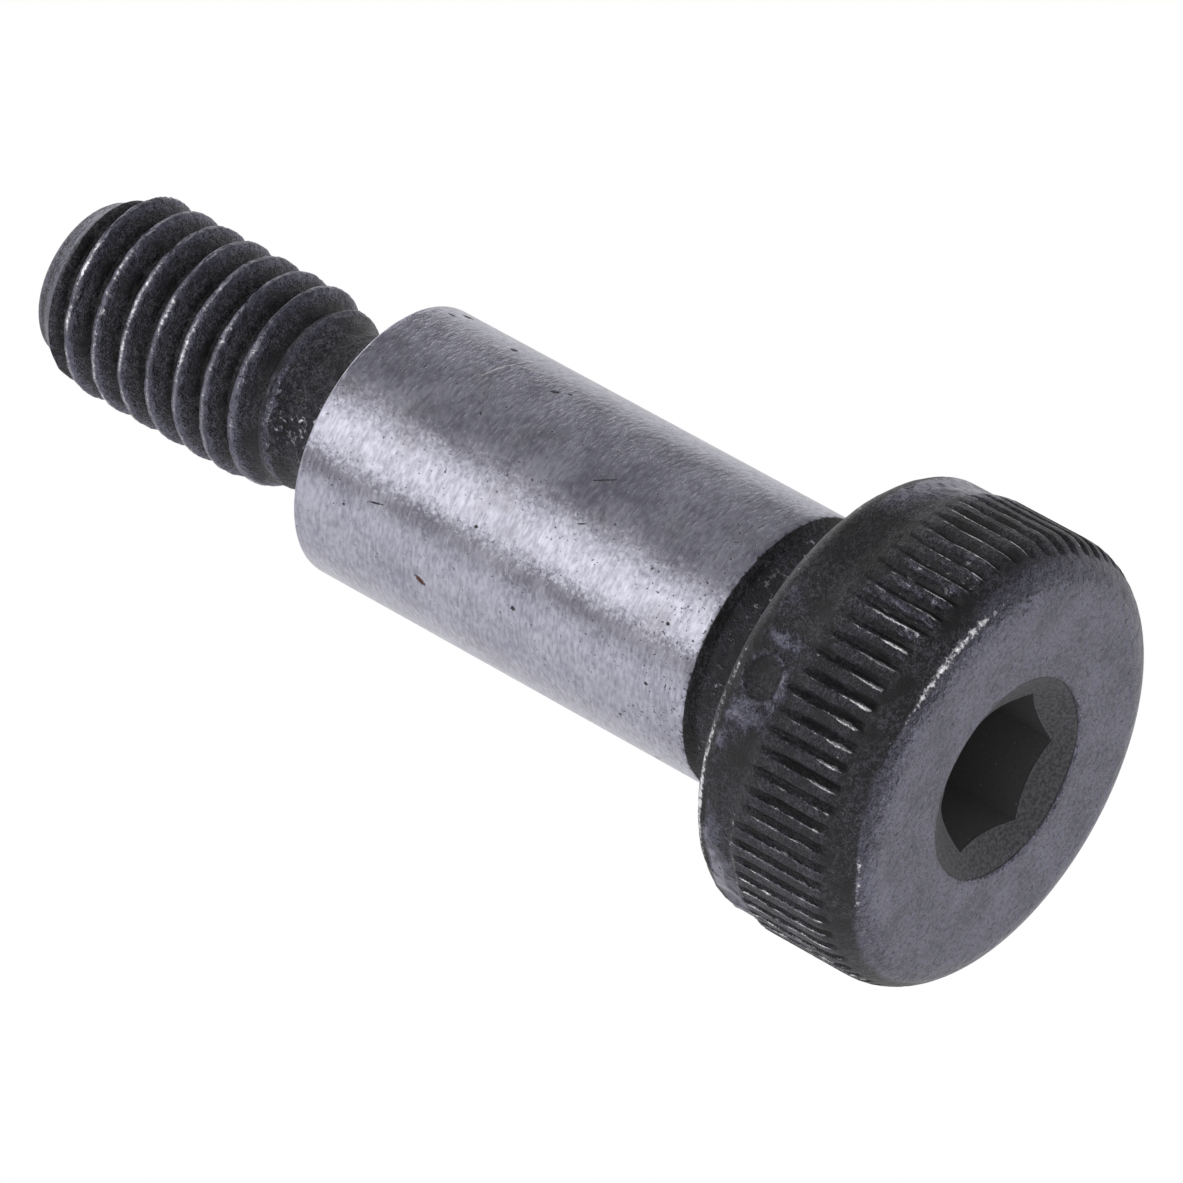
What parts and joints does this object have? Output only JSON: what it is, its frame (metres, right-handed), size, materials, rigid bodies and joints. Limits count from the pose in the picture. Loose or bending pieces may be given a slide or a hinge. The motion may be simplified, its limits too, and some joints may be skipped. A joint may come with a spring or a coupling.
{
  "type": "shoulder bolt",
  "caption": "Hexagon-socket shoulder bolt: round knurled head, plain ground shoulder and a shorter, thinner threaded end beyond a turned neck.",
  "frame": {"origin": "centre of the head's face, on which the bolt stands", "axes": "+Z along the bolt's axis, from the head to the thread's tip; +X through a corner of the hexagon socket"},
  "size_m": [0.013, 0.013, 0.0325],
  "materials": {
    "bolt_steel": "blackened head, socket and thread with worn bright edges; shoulder ground bright"
  },
  "bodies": {
    "root": {"shoulder_bolt": "bolt_steel"}
  },
  "joints": []
}
